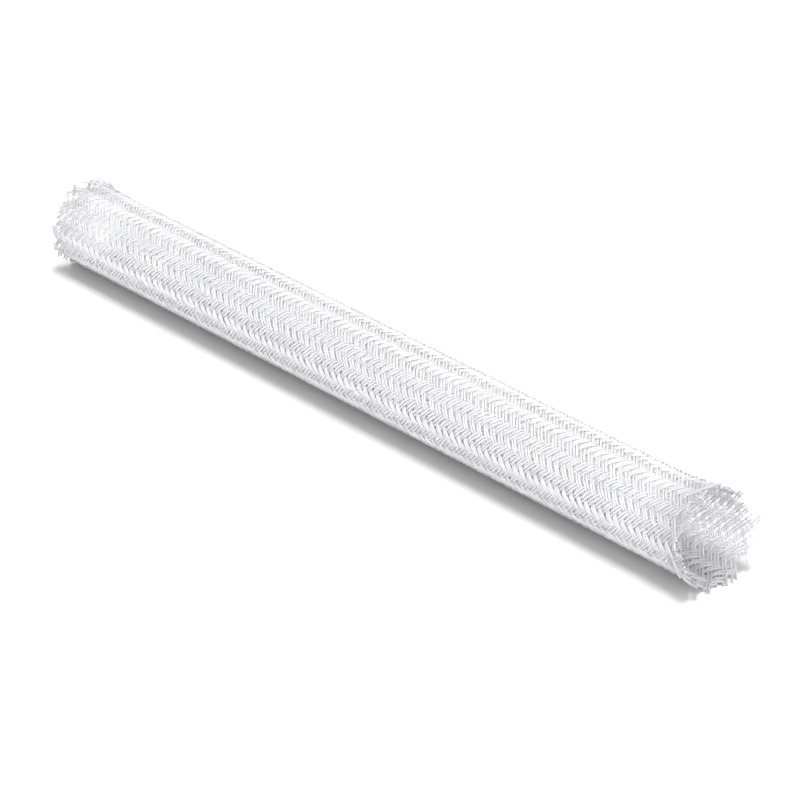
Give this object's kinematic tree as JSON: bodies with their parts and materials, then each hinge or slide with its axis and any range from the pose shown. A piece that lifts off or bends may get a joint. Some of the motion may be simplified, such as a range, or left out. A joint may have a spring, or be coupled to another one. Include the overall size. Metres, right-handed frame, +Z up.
{
  "type": "braided cable sleeve",
  "caption": "Straight cut length of round, open-ended braided sleeve in white filament, frayed at both cuts; it slips over a cable bundle.",
  "frame": {"origin": "on the surface that the sleeve lies on, below the middle of its length and width", "axes": "+X along the sleeve, +Z up"},
  "size_m": [0.13, 0.0138, 0.014],
  "materials": {
    "filament": "white polyester monofilament, satin"
  },
  "bodies": {
    "root": {"braided_sleeve": "filament"}
  },
  "joints": []
}
